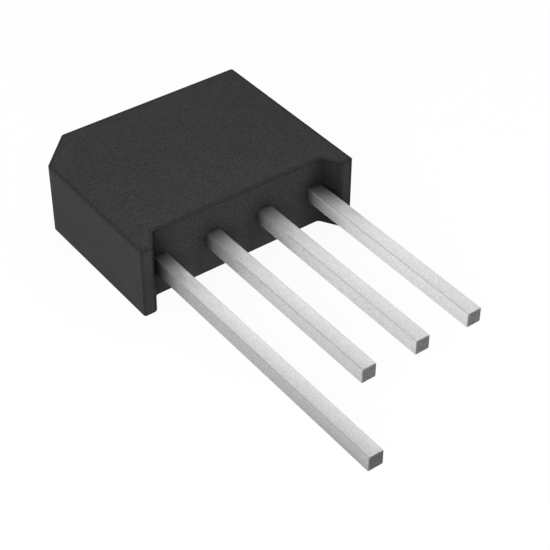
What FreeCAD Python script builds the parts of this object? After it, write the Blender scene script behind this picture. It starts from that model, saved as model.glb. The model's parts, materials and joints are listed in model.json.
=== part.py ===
import FreeCAD, Part
import os
import Sketcher

# Four-lead in-line bridge rectifier, lying on its back face as it rests on a table.
# X runs along the row of leads, +Y from the leads into the body, +Z through the thickness.
# The origin is the middle of the lead row, on the plane of the two foot tips, at mid-thickness.
# The positive lead is at -X, beside the bevelled corner.

# Driving sizes in millimetres
SIZES = {
    # moulded body
    "body_width": 19.0,
    "body_height": 15.75,
    "body_thickness": 6.0,
    "polarity_bevel": 2.95,
    "foot_height": 1.55,
    "foot_tip_width": 1.05,
    "foot_root_width": 2.0,
    "corner_radius": 0.2,
    "bevel_radius": 0.35,
    "foot_radius": 0.4,
    "rim_radius": 0.08,
    # square leads, their lengths taken from the plane of the foot tips
    "lead_pitch": 4.7,
    "lead_width": 1.25,
    "lead_edge_radius": 0.12,
    "tip_chamfer": 0.03,
    "positive_lead_length": 22.9,
    "lead_length": 16.5,
    "root_depth": 1.2,
    "neck_length": 0.9,
    # flattened pads at the inner ends of the leads
    "pad_thickness": 0.6,
    "bus_width": 3.0,
    "bus_overhang": 1.8,
    "bus_corner_cut": 1.2,
    "paddle_width": 3.0,
    "pad_corner_radius": 0.3,
    "lock_hole_diameter": 1.2,
    # two rows of two diode chips
    "back_row_inset": 3.7,
    "row_spacing": 5.0,
    "chip_width": 2.4,
    "chip_thickness": 0.3,
    "mesa_bevel": 0.12,
    "solder_thickness": 0.08,
    "cathode_solder_width": 2.2,
    "anode_solder_width": 1.7,
}

# Two places closer than this count as the same, in millimetres
NEAR = 0.0001

doc = FreeCAD.newDocument("bridge_rectifier")
sheet = doc.addObject("Spreadsheet::Sheet", "sizes")
for row, (alias, value) in enumerate(SIZES.items(), start=1):
    sheet.set(f"A{row}", str(value))
    sheet.setAlias(f"A{row}", alias)
doc.recompute()

# Places along Y: where a lead's full section ends inside the body, where its neck has
# reached the level of its pad, and the middle lines of the two rows of chips
ROOT_END = "(sizes.foot_height + sizes.root_depth)"
NECK_END = f"({ROOT_END} + sizes.neck_length)"
BACK_ROW = "(sizes.body_height - sizes.back_row_inset)"
FRONT_ROW = f"({BACK_ROW} - sizes.row_spacing)"

# Half a lead's width, and half the gap between lower and upper pads, which a chip fills
# with its two layers of solder
HALF_LEAD = "(sizes.lead_width / 2)"
HALF_GAP = "(sizes.chip_thickness / 2 + sizes.solder_thickness)"

LOWER, UPPER = -1, 1


def plane_of(body, role):
    """The body's own origin plane that has this role."""
    return next(plane for plane in body.Origin.OriginFeatures if plane.Role == role)


def new_sketch(body, name, role, height):
    """An empty sketch on one of the body's origin planes, raised along the plane's normal."""
    sketch = body.newObject("Sketcher::SketchObject", name)
    sketch.AttachmentSupport = (plane_of(body, role), [""])
    sketch.MapMode = "FlatFace"
    sketch.setExpression("AttachmentOffset.Base.z", height)
    return sketch


def point_at(where):
    """The point that two expressions give with the sizes as they stand."""
    across, along = (float(sheet.evalExpression(expression)) for expression in where)
    return FreeCAD.Vector(across, along, 0)


def tie(sketch, item, end, name, where):
    """Binds one point of a sketch's line or circle to its two coordinates."""
    for kind, letter, expression in zip(("DistanceX", "DistanceY"), "xy", where):
        constraint = Sketcher.Constraint(kind, -1, 1, item, end, getattr(point_at(where), letter))
        sketch.renameConstraint(sketch.addConstraint(constraint), f"{name}_{letter}")
        sketch.setExpression(f"Constraints.{name}_{letter}", expression)


def outline(body, name, role, corners, height="0"):
    """A closed outline of straight lines through named corners, each given by two expressions."""
    sketch = new_sketch(body, name, role, height)
    points = [point_at(where) for where in corners.values()]
    for start, end in zip(points, points[1:] + points[:1]):
        sketch.addGeometry(Part.LineSegment(start, end), False)
    for number in range(len(points)):
        following = (number + 1) % len(points)
        sketch.addConstraint(Sketcher.Constraint("Coincident", number, 2, following, 1))
    for number, (corner, where) in enumerate(corners.items()):
        tie(sketch, number, 1, corner, where)
    return sketch


def pad(body, name, sketch, length, side="One side", second_length="0", reverse=False):
    """A pad of a sketch along its normal, both ways or to one side."""
    feature = body.newObject("PartDesign::Pad", name)
    feature.Profile = sketch
    feature.SideType = side
    feature.Reversed = reverse
    feature.setExpression("Length", length)
    feature.setExpression("Length2", second_length)
    doc.recompute()
    return feature


def through_hole(body, name, where, diameter):
    """A round hole through the body along Z."""
    sketch = new_sketch(body, f"{name}_circle", "XY_Plane", "0")
    radius = float(sheet.evalExpression(diameter)) / 2
    sketch.addGeometry(Part.Circle(point_at(where), FreeCAD.Vector(0, 0, 1), radius), False)
    tie(sketch, 0, 3, "centre", where)
    number = sketch.addConstraint(Sketcher.Constraint("Diameter", 0, 2 * radius))
    sketch.renameConstraint(number, "diameter")
    sketch.setExpression("Constraints.diameter", diameter)
    feature = body.newObject("PartDesign::Pocket", name)
    feature.Profile = sketch
    feature.Type = "ThroughAll"
    feature.SideType = "Symmetric"
    doc.recompute()
    if feature.Shape.Volume > feature.BaseFeature.Shape.Volume - NEAR:
        raise RuntimeError(f"{body.Label}: {name} cuts nothing")


def edge_names(shape, wanted):
    """The names of the edges that a test picks out."""
    return [f"Edge{number}" for number, edge in enumerate(shape.Edges, start=1) if wanted(edge)]


def runs_along(edge, letter):
    """Whether an edge is a straight line parallel to one axis."""
    box = edge.BoundBox
    others = [getattr(box, f"{other}Length") for other in "XYZ" if other != letter]
    return isinstance(edge.Curve, Part.Line) and max(others) < NEAR


def upright_edges(shape, sketch, corners):
    """The edges along Z that stand on the named corners of a sketched outline."""
    places = [[sketch.getDatum(f"{corner}_{letter}").Value for letter in "xy"] for corner in corners]

    def stands_on_a_corner(edge):
        centre = edge.BoundBox.Center
        return runs_along(edge, "Z") and any(
            abs(centre.x - across) < NEAR and abs(centre.y - along) < NEAR for across, along in places
        )

    return edge_names(shape, stands_on_a_corner)


def dress(body, kind, name, edges, size_name, size):
    """A fillet or a chamfer of named edges of the body's latest feature."""
    latest = body.Tip
    feature = body.newObject(f"PartDesign::{kind}", name)
    feature.Base = (latest, edges)
    feature.setExpression(size_name, size)
    doc.recompute()
    return feature


def moulding_blank():
    """The body's outer form: a bevelled block with a foot at each end of its lead face."""
    body = doc.addObject("PartDesign::Body", "moulding_blank")
    side = "sizes.body_width / 2"
    foot_tip = f"({side} - sizes.foot_tip_width)"
    foot_root = f"({side} - sizes.foot_root_width)"
    bevel_across = f"-{side} + sizes.polarity_bevel"
    bevel_along = "sizes.body_height - sizes.polarity_bevel"
    corners = {
        "left_foot_outer": (f"-{side}", "0"),
        "left_foot_inner": (f"-{foot_tip}", "0"),
        "recess_left": (f"-{foot_root}", "sizes.foot_height"),
        "recess_right": (foot_root, "sizes.foot_height"),
        "right_foot_inner": (foot_tip, "0"),
        "right_foot_outer": (side, "0"),
        "back_right": (side, "sizes.body_height"),
        "bevel_back": (bevel_across, "sizes.body_height"),
        "bevel_side": (f"-{side}", bevel_along),
    }
    plan = outline(body, "plan", "XY_Plane", corners)
    pad(body, "block", plan, "sizes.body_thickness", side="Symmetric")
    rounded = {
        "corner": ("left_foot_outer", "right_foot_outer", "back_right"),
        "bevel": ("bevel_back", "bevel_side"),
        "foot": ("left_foot_inner", "recess_left", "recess_right", "right_foot_inner"),
    }
    for name, places in rounded.items():
        edges = upright_edges(body.Tip.Shape, plan, places)
        dress(body, "Fillet", f"{name}_fillet", edges, "Radius", f"sizes.{name}_radius")
    rim = edge_names(body.Tip.Shape, lambda edge: edge.BoundBox.ZLength < NEAR)
    dress(body, "Fillet", "rim_fillet", rim, "Radius", "sizes.rim_radius")
    return body


def shank(body, length):
    """The square lead from its root inside the body to its cut tip, with its edges broken."""
    corners = {
        "low_left": (f"-{HALF_LEAD}", f"-{HALF_LEAD}"),
        "low_right": (HALF_LEAD, f"-{HALF_LEAD}"),
        "high_right": (HALF_LEAD, HALF_LEAD),
        "high_left": (f"-{HALF_LEAD}", HALF_LEAD),
    }
    section = outline(body, "section", "XZ_Plane", corners)
    pad(body, "run", section, length, side="Two sides", second_length=ROOT_END)
    edges = edge_names(body.Tip.Shape, lambda edge: runs_along(edge, "Y"))
    dress(body, "Fillet", "edge_fillet", edges, "Radius", "sizes.lead_edge_radius")
    tip = body.Tip.Shape.BoundBox.YMin
    rim = edge_names(body.Tip.Shape, lambda edge: edge.BoundBox.YMax < tip + NEAR)
    dress(body, "Chamfer", "tip_rim", rim, "Size", "sizes.tip_chamfer")


def neck(body, level):
    """The stretch that is flattened and set up or down to the level of the pad."""
    corners = {
        "root_low": (ROOT_END, f"-{HALF_LEAD}"),
        "root_high": (ROOT_END, HALF_LEAD),
        "pad_far": (NECK_END, f"{level} * ({HALF_GAP} + sizes.pad_thickness)"),
        "pad_near": (NECK_END, f"{level} * {HALF_GAP}"),
    }
    if level == LOWER:
        corners["pad_far"], corners["pad_near"] = corners["pad_near"], corners["pad_far"]
    side_view = outline(body, "neck_side", "YZ_Plane", corners)
    pad(body, "neck", side_view, "sizes.lead_width", side="Symmetric")


def flat_pad(body, level, corners, rounded):
    """The flattened end that chips are soldered to, above or below the middle plane."""
    plan = outline(body, "pad_plan", "XY_Plane", corners, height=f"{level} * {HALF_GAP}")
    pad(body, "flat_pad", plan, "sizes.pad_thickness", reverse=level == LOWER)
    edges = upright_edges(body.Tip.Shape, plan, rounded)
    dress(body, "Fillet", "pad_fillet", edges, "Radius", "sizes.pad_corner_radius")


def bus_lead(label, place_in_row, towards, length, row):
    """A lead with a lower bus that runs across the row to pass under both diodes of one row."""
    body = doc.addObject("PartDesign::Body", label)
    body.setExpression("Placement.Base.x", f"{place_in_row} * sizes.lead_pitch")
    shank(body, length)
    neck(body, LOWER)
    outer = f"{-towards} * {HALF_LEAD}"
    inner = f"{towards} * {HALF_LEAD}"
    reach = f"{towards} * (2 * sizes.lead_pitch + sizes.bus_overhang)"
    front = f"({row} - sizes.bus_width / 2)"
    back = f"({row} + sizes.bus_width / 2)"
    corners = {
        "neck_outer": (outer, NECK_END),
        "neck_inner": (inner, NECK_END),
        "elbow": (inner, front),
        "end_front": (reach, front),
        "end_back": (reach, back),
        "cut_back": (f"{outer} + {towards} * sizes.bus_corner_cut", back),
        "cut_side": (outer, f"{back} - sizes.bus_corner_cut"),
    }
    flat_pad(body, LOWER, corners, ("elbow", "end_front", "end_back"))
    first_chip_edge = f"{towards} * (sizes.lead_pitch - sizes.chip_width / 2)"
    middle = f"({inner} + {first_chip_edge}) / 2"
    through_hole(body, "lock_hole", (middle, row), "sizes.lock_hole_diameter")
    return body


def paddle_lead(label, place_in_row):
    """A lead with an upper paddle that lies over the front and the back diode of its column."""
    body = doc.addObject("PartDesign::Body", label)
    body.setExpression("Placement.Base.x", f"{place_in_row} * sizes.lead_pitch")
    shank(body, "sizes.lead_length")
    neck(body, UPPER)
    half = "(sizes.paddle_width / 2)"
    shoulder = f"({NECK_END} + {half} - {HALF_LEAD})"
    back = f"({BACK_ROW} + sizes.bus_width / 2)"
    corners = {
        "neck_left": (f"-{HALF_LEAD}", NECK_END),
        "neck_right": (HALF_LEAD, NECK_END),
        "shoulder_right": (half, shoulder),
        "back_right": (half, back),
        "back_left": (f"-{half}", back),
        "shoulder_left": (f"-{half}", shoulder),
    }
    rounded = ("shoulder_right", "back_right", "back_left", "shoulder_left")
    flat_pad(body, UPPER, corners, rounded)
    between_rows = f"({BACK_ROW} + {FRONT_ROW}) / 2"
    through_hole(body, "lock_hole", ("0", between_rows), "sizes.lock_hole_diameter")
    return body


def diode_chip(label, column, row, anode_side):
    """A square silicon chip whose anode face has bevelled edges."""
    body = doc.addObject("PartDesign::Body", label)
    half = "(sizes.chip_width / 2)"
    corners = {
        "front_left": (f"-{half}", f"-{half}"),
        "front_right": (half, f"-{half}"),
        "back_right": (half, half),
        "back_left": (f"-{half}", half),
    }
    square = outline(body, "square", "XY_Plane", corners)
    pad(body, "wafer", square, "sizes.chip_thickness", side="Symmetric")
    top = body.Tip.Shape.BoundBox.ZMax
    mesa = edge_names(body.Tip.Shape, lambda edge: edge.BoundBox.ZMin > top - NEAR)
    dress(body, "Chamfer", "mesa", mesa, "Size", "sizes.mesa_bevel")
    turned_over = FreeCAD.Rotation(FreeCAD.Vector(1, 0, 0), 180)
    body.Placement.Rotation = FreeCAD.Rotation() if anode_side == UPPER else turned_over
    body.setExpression("Placement.Base.x", f"{column} * sizes.lead_pitch")
    body.setExpression("Placement.Base.y", row)
    return body


def solder_layer(label, column, row, side, width):
    """A thin square of solder between a chip's face and a pad."""
    layer = doc.addObject("Part::Box", label)
    layer.setExpression("Length", width)
    layer.setExpression("Width", width)
    layer.setExpression("Height", "sizes.solder_thickness")
    bottom = "sizes.chip_thickness / 2" if side == UPPER else f"-{HALF_GAP}"
    layer.setExpression("Placement.Base.x", f"{column} * sizes.lead_pitch - {width} / 2")
    layer.setExpression("Placement.Base.y", f"{row} - {width} / 2")
    layer.setExpression("Placement.Base.z", bottom)
    return layer


# The leads: places in the row are counted in pitches from its middle
leads = [
    bus_lead("lead_positive", -1.5, 1, "sizes.positive_lead_length", BACK_ROW),
    paddle_lead("lead_ac_1", -0.5),
    paddle_lead("lead_ac_2", 0.5),
    bus_lead("lead_negative", 1.5, -1, "sizes.lead_length", FRONT_ROW),
]

# The diodes: the back row conducts from the paddles above to the positive bus below, and
# the front row from the negative bus below to the paddles above
DIODE_PLACES = (
    # column, row, side of the anode
    (-0.5, BACK_ROW, UPPER),
    (0.5, BACK_ROW, UPPER),
    (-0.5, FRONT_ROW, LOWER),
    (0.5, FRONT_ROW, LOWER),
)
diodes = []
for number, (column, row, anode_side) in enumerate(DIODE_PLACES, start=1):
    diodes.append(diode_chip(f"diode_chip_{number}", column, row, anode_side))
    for face, side in (("anode", anode_side), ("cathode", -anode_side)):
        width = f"sizes.{face}_solder_width"
        diodes.append(solder_layer(f"{face}_solder_{number}", column, row, side, width))

# The compound is moulded round everything inside it and fills the lock holes
inserts = doc.addObject("Part::MultiFuse", "inserts")
inserts.Shapes = leads + diodes
moulded_body = doc.addObject("Part::Cut", "moulded_body")
moulded_body.Base = moulding_blank()
moulded_body.Tool = inserts
doc.recompute()

for item in doc.Objects:
    if "Invalid" in item.State or "Error" in item.State:
        raise RuntimeError(f"{item.Label} failed: {item.State}")

os.makedirs("parts", exist_ok=True)
pieces = [moulded_body] + leads + diodes
for piece in pieces:
    if piece.Shape.isNull() or not piece.Shape.isValid() or len(piece.Shape.Solids) != 1:
        raise RuntimeError(f"{piece.Label} is not one sound solid")
for piece in pieces:
    piece.Shape.exportStep(f"parts/{piece.Label}.step")
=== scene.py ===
import json
import math

import bpy
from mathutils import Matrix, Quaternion, Vector


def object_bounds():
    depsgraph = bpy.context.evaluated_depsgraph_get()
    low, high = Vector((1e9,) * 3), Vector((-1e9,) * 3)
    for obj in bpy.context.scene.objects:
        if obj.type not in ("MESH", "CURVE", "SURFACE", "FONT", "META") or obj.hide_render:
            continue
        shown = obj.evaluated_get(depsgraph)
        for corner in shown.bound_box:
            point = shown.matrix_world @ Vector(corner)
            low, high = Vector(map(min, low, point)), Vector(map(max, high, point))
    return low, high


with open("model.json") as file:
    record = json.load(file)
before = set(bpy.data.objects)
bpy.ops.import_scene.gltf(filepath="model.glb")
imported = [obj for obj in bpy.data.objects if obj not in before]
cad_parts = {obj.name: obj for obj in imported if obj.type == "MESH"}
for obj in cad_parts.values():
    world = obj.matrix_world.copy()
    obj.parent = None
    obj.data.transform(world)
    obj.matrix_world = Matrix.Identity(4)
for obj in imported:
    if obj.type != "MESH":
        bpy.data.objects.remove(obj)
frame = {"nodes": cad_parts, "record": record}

CAD_LOW, CAD_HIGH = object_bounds()

MM = 0.001

# Camera: where it stands, the point it looks at and how near and far it sees, in millimetres
# in the part's frame, and its roll in degrees. The photograph is 550 pixels square, and its
# focal length is given in pixels of that frame.
PHOTO_SIDE = 550
FOCAL_PIXELS = 1531.1
SENSOR_WIDTH = 36.0
CAMERA_PLACE = (-51.801, -71.952, 69.997)
CAMERA_TARGET = (-1.276, -4.623, 0.0)
CAMERA_ROLL = 0.306
CLIP_START, CLIP_END = 1, 10000

# Light: levels are what a white matt surface facing the lamp would show, from 0 to 1
WORLD_LEVEL = 0.56
LAMPS = (
    # name, compass angle and height above the horizon in degrees, level, distance and width
    # in millimetres
    ("key", -45, 30, 0.74, 140, 90),
    ("fill", 125, 45, 0.15, 260, 200),
)

# Floor: its half width and its gap below the part in millimetres, its colour as it lights
# the part, and the glow and colour that the camera sees
FLOOR_HALF_WIDTH = 1500
FLOOR_GAP = 0.02
FLOOR_WHITE = 0.62
FLOOR_GLOW = 0.93
FLOOR_SEEN = 0.075

# The part's sizes that its patterns follow, in millimetres
HALF_WIDTH = 9.5
HALF_THICKNESS = 3.0
BODY_HEIGHT = 15.75
POLARITY_BEVEL = 2.95
FOOT_HEIGHT = 1.55
FOOT_ROOT_WIDTH = 2.0
FOOT_TIP_WIDTH = 1.05
LEAD_PITCH = 4.7

# How far across the part the middle of each lead is, from the positive lead to the negative
FIRST, SECOND, THIRD, FOURTH = (LEAD_PITCH * (number - 1.5) for number in range(4))

# Colours, as the part of the light that they give back. A roughness, a tone or a contrast is
# given as its levels at the low and the high end of a noise pattern.
EPOXY_COLOUR = (0.0325, 0.0325, 0.0325)
EPOXY_SPECULAR = 0.12
EPOXY_ROUGHNESS = (0.62, 0.76)
TIN_COLOUR = (0.74, 0.74, 0.735)
TIN_ROUGHNESS = (0.52, 0.62)
FLANK_ROUGHNESS = (0.62, 0.72)
CUT_END_ROUGHNESS = 0.65
LINE_CONTRAST = (0.95, 1.05)
SPECK_CONTRAST = (0.9, 1.1)
FLANK_SPECK_CONTRAST = (0.87, 1.13)
SILICON_COLOUR = (0.042, 0.05, 0.069)
SILICON_TONE = (0.8, 1.2)
SILICON_METALLIC = 0.5
SILICON_ROUGHNESS = (0.12, 0.2)
SOLDER_COLOUR = (0.475, 0.475, 0.47)
SOLDER_TONE = (0.85, 1.15)
SOLDER_ROUGHNESS = (0.35, 0.55)

# Noise patterns: how many blobs to a millimetre on each axis, then the noise's own detail and
# roughness. Nearly all of a pattern lies between the two levels of the range.
EPOXY_GRAIN = ((7.2, 7.2, 7.2), 3, 0.6)
EPOXY_CLOUDS = ((0.35, 0.35, 0.35), 2, 0.5)
TIN_LINES = ((9, 2.5, 9), 3, 0.6)
TIN_SPECKS = ((9, 7, 9), 2, 0.6)
SILICON_CLOUDS = ((3, 3, 3), 2, 0.5)
SOLDER_BLOBS = ((4, 4, 4), 3, 0.5)
NOISE_RANGE = (0.3, 0.7)

# Bumps: the height in millimetres and the strength
EPOXY_BUMP = (0.012, 0.6)
TIN_BUMP = (0.004, 0.5)
SOLDER_BUMP = (0.01, 1)

# Painted shade in creases: how far it reaches in millimetres, the power that the openness is
# raised to, and whether a piece is shut in by itself alone
LEAD_ROOT_PAINTED_SHADE = (1.6, 1, False)
CORNER_PAINTED_SHADE = (2, 1.8, True)
WIDE_PAINTED_SHADE = (4, 1.3, False)
FLANK_PAINTED_SHADE = (2, 0.7, False)
CREASE_SAMPLES = 16


class Ramp:
    """A tone that follows a named value: it goes from the first level to the second between
    two places of that value, and is held beyond them. Without places it is the value itself.
    With where, the name of a mask, it counts only where that mask is 1. Places are in
    millimetres of the part's frame, or in parts of a unit normal for the values whose names
    begin with facing."""

    def __init__(self, value, places=None, levels=None, where=None):
        self.value = value
        self.places = places
        self.levels = levels
        self.where = where


def between(value, outer_low, inner_low, inner_high, outer_high):
    """Two ramps that are 1 between the inner places and fall to 0 at the outer ones."""
    return (
        Ramp(value, (outer_low, inner_low), (0, 1)),
        Ramp(value, (inner_high, outer_high), (1, 0)),
    )


BODY_MASKS = {
    "lead_face": (Ramp("facing_y", (-0.4, -0.2), (1, 0)),),
    "at_table": (Ramp("up", (-3, -0.6), (0.6, 0)),),
    "wide_face": (Ramp("facing_up_or_down", (0.97, 0.999), (0, 1)),),
    "between_feet": (Ramp("sideways", (5.5, 7), (1, 0)),),
    "between_leads": (
        Ramp("from_nearest_lead", (1.3, 2.2), (0, 1)),
        Ramp("between_feet"),
        Ramp("up", (-1.5, -0.4), (1, 0)),
    ),
    # The rounded rims of the wide faces
    "rim": between("facing_up_or_down", 0.1, 0.4, 0.92, 0.99),
    # The left foot's inner slope and its rounding, and the right foot's outer corner, where
    # painted shade falls
    "left_slope": (
        Ramp("facing_x", (0, 0.35), (0, 1)),
        Ramp("facing_x", (0.8, 0.85), (1, 0.3)),
        Ramp("along", (1.6, 1.7), (1, 0)),
        Ramp("sideways", (9, 9.2), (1, 0)),
    ),
    "right_corner": (
        Ramp("facing_x", (0.9, 0.99), (1, 0)),
        Ramp("along", (0.3, 0.4), (1, 0)),
        Ramp("across", (9.14, 9.24), (0, 1)),
    ),
    "above_first_lead": (
        Ramp("lead_face"),
        Ramp("across", (-6.5, -3.5), (1, 0)),
        Ramp("up", (0.3, 1), (0, 1)),
    ),
    # The thin darker line beside each edge, on the wide faces and on the sides
    "line_on_wide_face": between("inside_outline", 0.06, 0.12, 0.2, 0.32),
    "line_on_side": (
        *between("below_face", 0, 0.06, 0.13, 0.24),
        Ramp("facing_x", (-0.8, -0.4), (0.4, 1), where="lead_face"),
    ),
    # Painted fall-off of the light on the wide faces, towards the back and towards the right
    "painted_light_falloff": (Ramp("along", (1.5, 9), (1.08, 0.97)), Ramp("across", (4, 8), (1, 0.95))),
}

# Painted shade on the lead face: darker in its corners, where the leads come out and where it
# turns left, but not at the table that the part lies on, and painted light low down between the
# feet and leads
LEAD_FACE_PAINTED_LIGHT = (
    Ramp("beside_leads"),
    Ramp("corners"),
    Ramp("up", (-3, -1.2), (1.6, 1.09), where="between_feet"),
    Ramp("facing_x", (-0.4, 0), (0.66, 1)),
    Ramp("between_leads", (0, 1), (1, 1.5)),
)

BODY_TONES = (
    Ramp("grain", NOISE_RANGE, (0.52, 1.48)),
    Ramp("clouds", NOISE_RANGE, (0.95, 1.05)),
    # Painted fall-off of the light from the left side to the right
    Ramp("across", (-HALF_WIDTH, HALF_WIDTH), (1.03, 0.97)),
    # Painted shade and light on the lead face
    Ramp("lead_face_painted_light", where="lead_face"),
    Ramp("rim", (0, 1), (1, 0.88)),
    # Painted shade on the left foot's inner slope and the right foot's outer corner
    Ramp("left_slope", (0, 1), (1, 0.3)),
    Ramp("right_corner", (0, 1), (1, 0.6)),
    # Painted light and shade on the lead face above the first lead: lighter towards the front,
    # darker deeper in
    Ramp("along", (0.2, 1.4), (1.1, 0.9), where="above_first_lead"),
    # Painted fall-off of the light on the wide faces
    Ramp("painted_light_falloff", where="wide_face"),
    Ramp("edge_line", (0, 1), (1, 0.66)),
)

LEAD_MASKS = {
    "flank": (Ramp("facing_sideways", (0.6, 0.8), (0, 1)),),
    "wide": (Ramp("facing_up_or_down", (0.98, 0.999), (0, 1)),),
    "cut_end": (Ramp("facing_y", (-0.98, -0.9), (1, 0)),),
    # The first and the fourth lead, by the middle of the lead that a place is on
    "first": (Ramp("middle", (FIRST, SECOND), (1, 0)),),
    "fourth": (Ramp("middle", (THIRD, FOURTH), (0, 1)),),
    "inner_two": between("middle", FIRST, SECOND, THIRD, FOURTH),
    # These two rise evenly across the part instead
    "after_first": (Ramp("across", (FIRST, SECOND), (0, 1)),),
    "towards_fourth": (Ramp("across", (FIRST, FOURTH), (0, 1)),),
    # Stretches along the leads, from the body outwards
    "at_root": (
        *between("along", -2.1, -1.7, -1.3, -0.7),
        Ramp("middle", (FIRST, SECOND), (1, 0.5)),
        Ramp("middle", (THIRD, FOURTH), (1, 0)),
    ),
    "after_root": between("along", -7, -5.5, -2.8, -2.2),
    # Where a painted shadow crosses the fourth lead by the right foot
    "by_right_foot": (Ramp("fourth"), *between("along", -3.9, -3.1, -2.6, -2)),
    "flank_root": between("along", -2.8, -2, -1.2, 0.2),
    "other_flank_root": (Ramp("flank_root"), Ramp("after_first")),
    "fourth_flank_root": (Ramp("flank_root"), Ramp("fourth")),
    # A painted highlight strip on the fourth lead's flank, near its root
    "lit_strip": (Ramp("fourth"), Ramp("along", (-4, -2.4), (0, 1))),
    "first_tip": (Ramp("first"), Ramp("along", (-20, -14), (1, 0))),
    "near_body": (Ramp("along", (-3, -0.5), (0, 1)),),
    # The half of each lead that is farther from the camera, and the first lead's upper edge
    "far_half": (Ramp("from_middle", (0.1, 0.4), (0, 1)),),
    "upper_edge": (
        Ramp("first", (0, 1), (0, 0.5)),
        Ramp("facing_up_or_down", (0.75, 0.95), (0, 1)),
    ),
}

# Painted shade and reflection make the wide faces darker towards the body, painted light fades
# towards the tip, near the root one side of each lead is painted lit before the other, and a
# painted shadow crosses the fourth lead by the right foot
WIDE_TONES = (
    Ramp("along", (-23, -8), (0.86, 1)),
    Ramp("along", (-4.5, 0), (1, 0.77)),
    Ramp("along", (0.2, 1.5), (1, 1.2)),
    Ramp("along", (1.15, 1.5), (1, 0.7)),
    Ramp("painted_across_shade"),
    Ramp("wide_shade"),
    Ramp("along", (-1.5, 0.2), (1, 0.9), where="first"),
    Ramp("along", (0, 1.2), (1, 0.75), where="first"),
    Ramp("along", (-6, -4), (1, 0.95), where="fourth"),
    Ramp("along", (-4, -2), (1, 1.158), where="fourth"),
    Ramp("along", (-1, 1), (1, 0.79), where="fourth"),
    Ramp("from_middle", (-0.1, 0.4), (0.88, 1.17), where="at_root"),
    Ramp("from_middle", (-0.36, 0.36), (1.02, 0.955), where="after_root"),
    Ramp("from_middle", (0, 0.36), (0.96, 0.86), where="by_right_foot"),
    Ramp("along", (0.4, 1), (1, 0.88), where="inner_two"),
)

# They also carry painted shade along one edge, most of all on the first lead
FIRST_PAINTED_ACROSS_SHADE = (Ramp("from_middle", (-0.6, 0.5), (0.895, 1.12)),)
FOURTH_PAINTED_ACROSS_SHADE = (Ramp("from_middle", (-0.6, 0.2), (1, 1.06)),)

# Painted shade and reflection make the flanks of the first lead the darkest and those of the
# fourth the brightest, with a painted highlight strip on the fourth
FLANK_TONES = (
    Ramp("after_first", (0, 1), (0.7, 1)),
    Ramp("across", (SECOND, THIRD), (1.08, 1.11)),
    Ramp("across", (THIRD, FOURTH), (1, 1.063)),
    Ramp("up", (-0.6, 0.5), (0.96, 1.02)),
    Ramp("towards_tip"),
    Ramp("towards_body"),
    Ramp("along", (-3.5, 0), (1, 0.74)),
    Ramp("along", (0.6, 1.55), (1, 0.4)),
    Ramp("flank_shade"),
    Ramp("along", (-4, -2), (1, 1.08), where="first"),
    Ramp("along", (-1, 0), (1, 1.06), where="first"),
    Ramp("along", (0, 1), (1, 1.8), where="first"),
    Ramp("along", (-0.8, 1), (1, 0.83), where="fourth"),
    Ramp("up", (0.35, 0.48), (1, 1.12), where="lit_strip"),
    Ramp("up", (-0.36, 0.36), (0.91, 1.07), where="other_flank_root"),
    Ramp("fourth_flank_root", (0, 1), (1, 0.94)),
    Ramp("up", (-0.42, 0.36), (0.89, 1.04), where="first_tip"),
    Ramp("specks", NOISE_RANGE, (0.9, 1.1), where="first"),
)

# How the painted shade of the first lead's flank and of the other ones goes towards the tip and
# towards the body
FIRST_FLANK = (Ramp("along", (-22, -14), (0.95, 1)), Ramp("along", (-7, -3.5), (1, 0.88)))
OTHER_FLANKS = (Ramp("along", (-16.5, -8), (0.91, 1)), Ramp("along", (-7, -3.5), (1, 0.98)))

# The edges between them are a darker line, which fades out towards the body
LINE_TONES = (
    Ramp("across", (FIRST, SECOND), (0.77, 1)),
    Ramp("across", (SECOND, FOURTH), (0.7, 0.75)),
)
LINE_TONES_NEAR_BODY = (
    Ramp("wide_tone"),
    Ramp("along", (-0.8, 0.8), (0.6, 0.95), where="fourth"),
)
FAR_EDGE_TONES = (
    Ramp("far_half"),
    Ramp("middle", (FIRST, SECOND), (1, 0.9)),
    Ramp("wide_tone"),
)

# The cut ends are painted dark as a painted reflection, with a painted highlight rim to the
# left and above and a painted shade rim to the right
CUT_END_TONES = (
    Ramp("across", (FIRST, SECOND), (0.18, 0.255)),
    Ramp("specks", NOISE_RANGE, (0.75, 1.25)),
    Ramp("from_middle", (-0.62, -0.42), (1.8, 1)),
    Ramp("from_middle", (0.48, 0.6), (1, 0.8)),
    Ramp("up", (0.42, 0.62), (1, 1.45)),
)


def make_camera():
    """The photograph's camera, with its lens worked out from the focal length in pixels."""
    data = bpy.data.cameras.new("photo_camera")
    data.sensor_width = SENSOR_WIDTH
    data.lens = FOCAL_PIXELS * SENSOR_WIDTH / PHOTO_SIDE
    data.clip_start = CLIP_START * MM
    data.clip_end = CLIP_END * MM
    camera = bpy.data.objects.new("photo_camera", data)
    bpy.context.scene.collection.objects.link(camera)
    place = Vector(CAMERA_PLACE) * MM
    look = Vector(CAMERA_TARGET) * MM - place
    camera.rotation_mode = "QUATERNION"
    roll = Quaternion((0, 0, 1), math.radians(CAMERA_ROLL))
    camera.location = place
    camera.rotation_quaternion = look.to_track_quat("-Z", "Y") @ roll
    bpy.context.scene.camera = camera


def link(tree, start, end):
    """Joins an output socket to an input socket."""
    tree.links.new(start, end)


def add(tree, kind, **settings):
    """A new shader node with some of its settings and inputs set by name."""
    node = tree.nodes.new(kind)
    for name, value in settings.items():
        if name in node.inputs:
            node.inputs[name].default_value = value
        else:
            setattr(node, name, value)
    return node


def combine(tree, operation, first, second):
    """The sum, product or other mathematics of a value and another value or a number."""
    node = add(tree, "ShaderNodeMath", operation=operation)
    link(tree, first, node.inputs[0])
    if isinstance(second, (int, float)):
        node.inputs[1].default_value = second
    else:
        link(tree, second, node.inputs[1])
    return node.outputs[0]


def grey(level):
    """A plain grey of this level, with its alpha."""
    return (level, level, level, 1)


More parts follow.
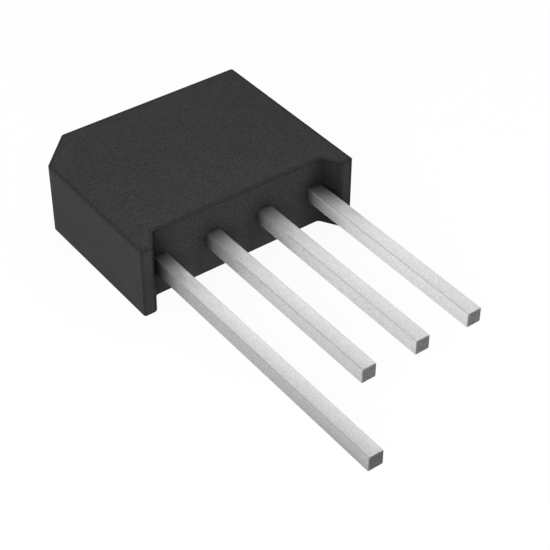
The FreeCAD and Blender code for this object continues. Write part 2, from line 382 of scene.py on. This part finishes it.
def mixed(tree, amount, first, second):
    """One shader where the amount is 0, and another where it is 1."""
    node = add(tree, "ShaderNodeMixShader")
    for socket, output in zip(node.inputs, (amount, first, second)):
        link(tree, output, socket)
    return node.outputs[0]


def background_rays(tree):
    """1 for the rays that should see the plain white background: camera, glossy and glass."""
    rays = add(tree, "ShaderNodeLightPath").outputs
    seen = combine(tree, "MAXIMUM", rays["Is Camera Ray"], rays["Is Glossy Ray"])
    return combine(tree, "MAXIMUM", seen, rays["Is Transmission Ray"])


def make_world():
    """A plain white surrounding, seen at full white and giving light at a plain level."""
    world = bpy.data.worlds.new("studio")
    world.use_nodes = True
    tree = world.node_tree
    tree.nodes.clear()
    given = add(tree, "ShaderNodeBackground", Strength=WORLD_LEVEL, Color=grey(1))
    seen = add(tree, "ShaderNodeBackground", Strength=1.0, Color=grey(1))
    surface = mixed(tree, background_rays(tree), given.outputs[0], seen.outputs[0])
    link(tree, surface, add(tree, "ShaderNodeOutputWorld").inputs["Surface"])
    bpy.context.scene.world = world


def make_lamp(name, compass, height, level, distance, width):
    """A square soft lamp that points at the middle of the part and leaves no highlight."""
    data = bpy.data.lights.new(name, "AREA")
    data.shape = "SQUARE"
    data.size = width * MM
    data.energy = level * (math.pi * distance * MM) ** 2
    lamp = bpy.data.objects.new(name, data)
    bpy.context.scene.collection.objects.link(lamp)
    turn, rise = math.radians(compass), math.radians(height)
    away = Vector(
        (math.sin(turn) * math.cos(rise), -math.cos(turn) * math.cos(rise), math.sin(rise))
    )
    lamp.location = (CAD_LOW + CAD_HIGH) / 2 + away * distance * MM
    lamp.rotation_mode = "QUATERNION"
    lamp.rotation_quaternion = (-away).to_track_quat("-Z", "Y")
    lamp.visible_glossy = False


def make_floor():
    """A white floor just under the part, which keeps its soft shadow and isn't seen from
    below."""
    half = FLOOR_HALF_WIDTH * MM
    level = CAD_LOW.z - FLOOR_GAP * MM
    corners = [(x * half, y * half, level) for x, y in ((-1, -1), (1, -1), (1, 1), (-1, 1))]
    mesh = bpy.data.meshes.new("floor")
    mesh.from_pydata(corners, [], [(0, 1, 2, 3)])
    floor = bpy.data.objects.new("floor", mesh)
    bpy.context.scene.collection.objects.link(floor)
    material = bpy.data.materials.new("floor_white")
    material.use_nodes = True
    tree = material.node_tree
    tree.nodes.clear()
    plain = add(tree, "ShaderNodeBsdfDiffuse", Color=grey(FLOOR_WHITE))
    lit = add(tree, "ShaderNodeBsdfDiffuse", Color=grey(FLOOR_SEEN))
    glow = add(tree, "ShaderNodeEmission", Color=grey(1), Strength=FLOOR_GLOW)
    seen = add(tree, "ShaderNodeAddShader")
    link(tree, lit.outputs[0], seen.inputs[0])
    link(tree, glow.outputs[0], seen.inputs[1])
    above = mixed(tree, background_rays(tree), plain.outputs[0], seen.outputs[0])
    from_below = add(tree, "ShaderNodeNewGeometry").outputs["Backfacing"]
    clear = add(tree, "ShaderNodeBsdfTransparent").outputs[0]
    surface = mixed(tree, from_below, above, clear)
    link(tree, surface, add(tree, "ShaderNodeOutputMaterial").inputs["Surface"])
    mesh.materials.append(material)


def stretched(tree, vector, scale):
    """Coordinates with each axis scaled by its own factor."""
    mapping = add(tree, "ShaderNodeMapping", Scale=scale)
    link(tree, vector, mapping.inputs["Vector"])
    return mapping.outputs["Vector"]


def noise(tree, place, per_mm, detail, roughness):
    """A noise pattern with about this many blobs to a millimetre on each axis."""
    texture = add(tree, "ShaderNodeTexNoise", Scale=1.0, Detail=detail, Roughness=roughness)
    link(tree, stretched(tree, place, per_mm), texture.inputs["Vector"])
    return texture.outputs["Fac"]


def spread(tree, value, low, high, source=NOISE_RANGE):
    """Maps one range of a value to another, and holds it at the ends."""
    settings = {"From Min": source[0], "From Max": source[1], "To Min": low, "To Max": high}
    mapped = add(tree, "ShaderNodeMapRange", **settings)
    link(tree, value, mapped.inputs["Value"])
    return mapped.outputs["Result"]


def tinted(tree, tone, colour):
    """A plain colour made lighter and darker by a tone."""
    node = add(tree, "ShaderNodeVectorMath", operation="SCALE")
    node.inputs[0].default_value = colour
    link(tree, tone, node.inputs["Scale"])
    return node.outputs["Vector"]


def blended(tree, amount, first, second):
    """One value where the amount is 0, and another where it is 1."""
    node = add(tree, "ShaderNodeMix", data_type="FLOAT")
    for socket, value in zip(node.inputs[:1] + node.inputs[2:4], (amount, first, second)):
        if isinstance(value, (int, float)):
            socket.default_value = value
        else:
            link(tree, value, socket)
    return node.outputs[0]


def painted_crease_shade(tree, reach_mm, power, alone):
    """1 on an open surface, and less towards 0 the more it is shut in within this reach, by
    everything around it or by its own piece alone. Multiplied into a colour, it is painted
    shade."""
    settings = {"samples": CREASE_SAMPLES, "only_local": alone, "Distance": reach_mm * MM}
    open_part = add(tree, "ShaderNodeAmbientOcclusion", **settings).outputs["AO"]
    return combine(tree, "POWER", open_part, power)


def bump(tree, height, distance_mm, strength):
    """A bump of a pattern that is this many millimetres high."""
    relief = add(tree, "ShaderNodeBump", Strength=strength, Distance=distance_mm * MM)
    link(tree, height, relief.inputs["Height"])
    return relief.outputs["Normal"]


def product(tree, values, ramps):
    """The product of some ramps of named values."""
    total = None
    for ramp in ramps:
        tone = values[ramp.value]
        if ramp.places:
            tone = spread(tree, tone, *ramp.levels, source=ramp.places)
        if ramp.where:
            tone = blended(tree, values[ramp.where], 1.0, tone)
        total = tone if total is None else combine(tree, "MULTIPLY", total, tone)
    return total


def add_masks(tree, values, masks):
    """Names each mask of a table among the values. A mask may use the ones before it."""
    for name, ramps in masks.items():
        values[name] = product(tree, values, ramps)


def new_material(name):
    """A material with a plain shader, its place in millimetres, and the values that ramps can
    follow: the parts of that place and of the face's direction, in the part's frame."""
    material = bpy.data.materials.new(name)
    material.use_nodes = True
    tree = material.node_tree
    tree.nodes.clear()
    shader = add(tree, "ShaderNodeBsdfPrincipled")
    link(tree, shader.outputs[0], add(tree, "ShaderNodeOutputMaterial").inputs["Surface"])
    coordinates = add(tree, "ShaderNodeTexCoord")
    place = stretched(tree, coordinates.outputs["Object"], (1 / MM, 1 / MM, 1 / MM))
    values = {}
    for vector, names in (
        (place, ("across", "along", "up")),
        (coordinates.outputs["Normal"], ("facing_x", "facing_y", "facing_z")),
    ):
        node = add(tree, "ShaderNodeSeparateXYZ")
        link(tree, vector, node.inputs[0])
        values.update(zip(names, node.outputs))
    values["facing_sideways"] = combine(tree, "ABSOLUTE", values["facing_x"], 0)
    values["facing_up_or_down"] = combine(tree, "ABSOLUTE", values["facing_z"], 0)
    return material, tree, shader, place, values


def beside_lead(tree, across):
    """How far across a place is from the middle of its nearest lead."""
    wrapped = add(tree, "ShaderNodeMath", operation="WRAP")
    link(tree, combine(tree, "SUBTRACT", across, LEAD_PITCH / 2), wrapped.inputs[0])
    wrapped.inputs[1].default_value = LEAD_PITCH / 2
    wrapped.inputs[2].default_value = -LEAD_PITCH / 2
    return wrapped.outputs[0]


def inside(tree, place, inward, point):
    """How far a place is inside the plane through a point that faces the other way."""
    inward = Vector(inward).normalized()
    node = add(tree, "ShaderNodeVectorMath", operation="DOT_PRODUCT")
    link(tree, place, node.inputs[0])
    node.inputs[1].default_value = inward
    return combine(tree, "SUBTRACT", node.outputs["Value"], inward.dot(Vector(point)))


def body_depths(tree, place):
    """How far a place is inside the body's outline, as seen from above, and below its nearer
    wide face."""
    absolute = add(tree, "ShaderNodeVectorMath", operation="ABSOLUTE")
    link(tree, place, absolute.inputs[0])
    folded = absolute.outputs["Vector"]
    floor = inside(tree, folded, (0, 1, 0), (0, FOOT_HEIGHT, 0))
    slope_inward = (FOOT_HEIGHT, FOOT_ROOT_WIDTH - FOOT_TIP_WIDTH, 0)
    slope = inside(tree, folded, slope_inward, (HALF_WIDTH - FOOT_ROOT_WIDTH, FOOT_HEIGHT, 0))
    depth = combine(tree, "MAXIMUM", floor, slope)
    for other in (
        inside(tree, folded, (-1, 0, 0), (HALF_WIDTH, 0, 0)),
        inside(tree, folded, (0, -1, 0), (0, BODY_HEIGHT, 0)),
        inside(tree, folded, (0, 1, 0), (0, 0, 0)),
        inside(tree, place, (1, -1, 0), (-HALF_WIDTH, BODY_HEIGHT - POLARITY_BEVEL, 0)),
    ):
        depth = combine(tree, "MINIMUM", depth, other)
    return depth, inside(tree, folded, (0, 0, -1), (0, 0, HALF_THICKNESS))


def moulding_compound():
    """Black filled epoxy: matt, with the fine even grain that a spark-eroded mould leaves, and
    painted light and shade on its lead face, its feet and its wide faces.
    """
    material, tree, shader, place, values = new_material("black_epoxy")
    grain = noise(tree, place, *EPOXY_GRAIN)
    values["grain"] = grain
    values["clouds"] = noise(tree, place, *EPOXY_CLOUDS)
    values["sideways"] = combine(tree, "ABSOLUTE", values["across"], 0)
    values["from_nearest_lead"] = combine(
        tree, "ABSOLUTE", beside_lead(tree, values["across"]), 0
    )
    values["inside_outline"], values["below_face"] = body_depths(tree, place)
    add_masks(tree, values, BODY_MASKS)
    # Painted shade where the leads come out and in the body's own corners, lifted at the table
    root_painted_shade = painted_crease_shade(tree, *LEAD_ROOT_PAINTED_SHADE)
    beside_leads = combine(tree, "ADD", root_painted_shade, values["at_table"])
    values["beside_leads"] = combine(tree, "MINIMUM", beside_leads, 1)
    values["corners"] = painted_crease_shade(tree, *CORNER_PAINTED_SHADE)
    values["lead_face_painted_light"] = product(tree, values, LEAD_FACE_PAINTED_LIGHT)
    values["edge_line"] = blended(
        tree, values["wide_face"], values["line_on_side"], values["line_on_wide_face"]
    )
    tone = product(tree, values, BODY_TONES)
    link(tree, tinted(tree, tone, EPOXY_COLOUR), shader.inputs["Base Color"])
    shader.inputs["Specular IOR Level"].default_value = EPOXY_SPECULAR
    link(tree, spread(tree, grain, *EPOXY_ROUGHNESS), shader.inputs["Roughness"])
    link(tree, bump(tree, grain, *EPOXY_BUMP), shader.inputs["Normal"])
    return material


def wide_tone(tree, values):
    """The tone of a lead's wide faces, which were rolled, with painted shade, light and
    reflection.
    """
    # Painted shade across each lead's wide faces
    values["painted_across_shade"] = blended(
        tree,
        values["towards_fourth"],
        product(tree, values, FIRST_PAINTED_ACROSS_SHADE),
        product(tree, values, FOURTH_PAINTED_ACROSS_SHADE),
    )
    # Painted shade where the wide faces are shut in
    values["wide_shade"] = painted_crease_shade(tree, *WIDE_PAINTED_SHADE)
    return product(tree, values, WIDE_TONES)


def flank_tone(tree, values):
    """The tone of a lead's flanks, which were sheared, with painted shade, reflection and
    highlight.
    """
    # Painted shade along the flanks, towards the tip and towards the body
    values["towards_tip"], values["towards_body"] = (
        blended(tree, values["after_first"], *(product(tree, values, (ramp,)) for ramp in pair))
        for pair in zip(FIRST_FLANK, OTHER_FLANKS)
    )
    # Painted shade where the flanks are shut in
    values["flank_shade"] = painted_crease_shade(tree, *FLANK_PAINTED_SHADE)
    return product(tree, values, FLANK_TONES)


def edge_tone(tree, values):
    """The tone of a lead's rounded edges: a dark line on the near half of it."""
    line = product(tree, values, LINE_TONES)
    near_body = product(tree, values, LINE_TONES_NEAR_BODY)
    line = blended(tree, values["near_body"], line, near_body)
    far_edge = product(tree, values, FAR_EDGE_TONES)
    edge = blended(tree, values["far_half"], line, far_edge)
    flat = combine(tree, "MAXIMUM", values["wide"], values["upper_edge"])
    return blended(tree, flat, edge, values["wide_tone"])


def tinned_copper():
    """Tin-plated copper: soft silver, rolled on two sides, sheared on two and cut off at its
    end, with painted shade, light and reflection along the leads."""
    material, tree, shader, place, values = new_material("tin_plate")
    lines = noise(tree, place, *TIN_LINES)
    specks = noise(tree, place, *TIN_SPECKS)
    values["specks"] = specks
    values["from_middle"] = beside_lead(tree, values["across"])
    values["middle"] = combine(tree, "SUBTRACT", values["across"], values["from_middle"])
    add_masks(tree, values, LEAD_MASKS)
    flank, cut_end = values["flank"], values["cut_end"]
    values["wide_tone"] = wide_tone(tree, values)
    side = blended(tree, flank, edge_tone(tree, values), flank_tone(tree, values))
    tone = blended(tree, cut_end, side, product(tree, values, CUT_END_TONES))
    tone = combine(tree, "MULTIPLY", tone, spread(tree, lines, *LINE_CONTRAST))
    contrasts = (spread(tree, specks, *ends) for ends in (SPECK_CONTRAST, FLANK_SPECK_CONTRAST))
    tone = combine(tree, "MULTIPLY", tone, blended(tree, flank, *contrasts))
    link(tree, tinted(tree, tone, TIN_COLOUR), shader.inputs["Base Color"])
    shader.inputs["Metallic"].default_value = 1.0
    roughnesses = (spread(tree, specks, *ends) for ends in (TIN_ROUGHNESS, FLANK_ROUGHNESS))
    rough = blended(tree, cut_end, blended(tree, flank, *roughnesses), CUT_END_ROUGHNESS)
    link(tree, rough, shader.inputs["Roughness"])
    link(tree, bump(tree, lines, *TIN_BUMP), shader.inputs["Normal"])
    return material


def silicon():
    """The chips' polished dark silicon."""
    material, tree, shader, place, _ = new_material("polished_silicon")
    clouds = noise(tree, place, *SILICON_CLOUDS)
    tone = spread(tree, clouds, *SILICON_TONE)
    link(tree, tinted(tree, tone, SILICON_COLOUR), shader.inputs["Base Color"])
    shader.inputs["Metallic"].default_value = SILICON_METALLIC
    link(tree, spread(tree, clouds, *SILICON_ROUGHNESS), shader.inputs["Roughness"])
    return material


def solder():
    """Dull grey solder with a slightly uneven skin."""
    material, tree, shader, place, _ = new_material("dull_solder")
    blobs = noise(tree, place, *SOLDER_BLOBS)
    tone = spread(tree, blobs, *SOLDER_TONE)
    link(tree, tinted(tree, tone, SOLDER_COLOUR), shader.inputs["Base Color"])
    shader.inputs["Metallic"].default_value = 1.0
    link(tree, spread(tree, blobs, *SOLDER_ROUGHNESS), shader.inputs["Roughness"])
    link(tree, bump(tree, blobs, *SOLDER_BUMP), shader.inputs["Normal"])
    return material


def dress_nodes():
    """Gives each CAD node the material of its slot in the record."""
    makers = (moulding_compound, tinned_copper, silicon, solder)
    materials = {maker.__name__: maker() for maker in makers}
    for part in frame["record"]["subparts"]:
        node = frame["nodes"][part["node"]]
        node.data.materials.clear()
        node.data.materials.append(materials[part["material_slot"]])


make_camera()
make_world()
for lamp in LAMPS:
    make_lamp(*lamp)
make_floor()
dress_nodes()

scene = bpy.context.scene
scene.view_settings.view_transform = "Standard"
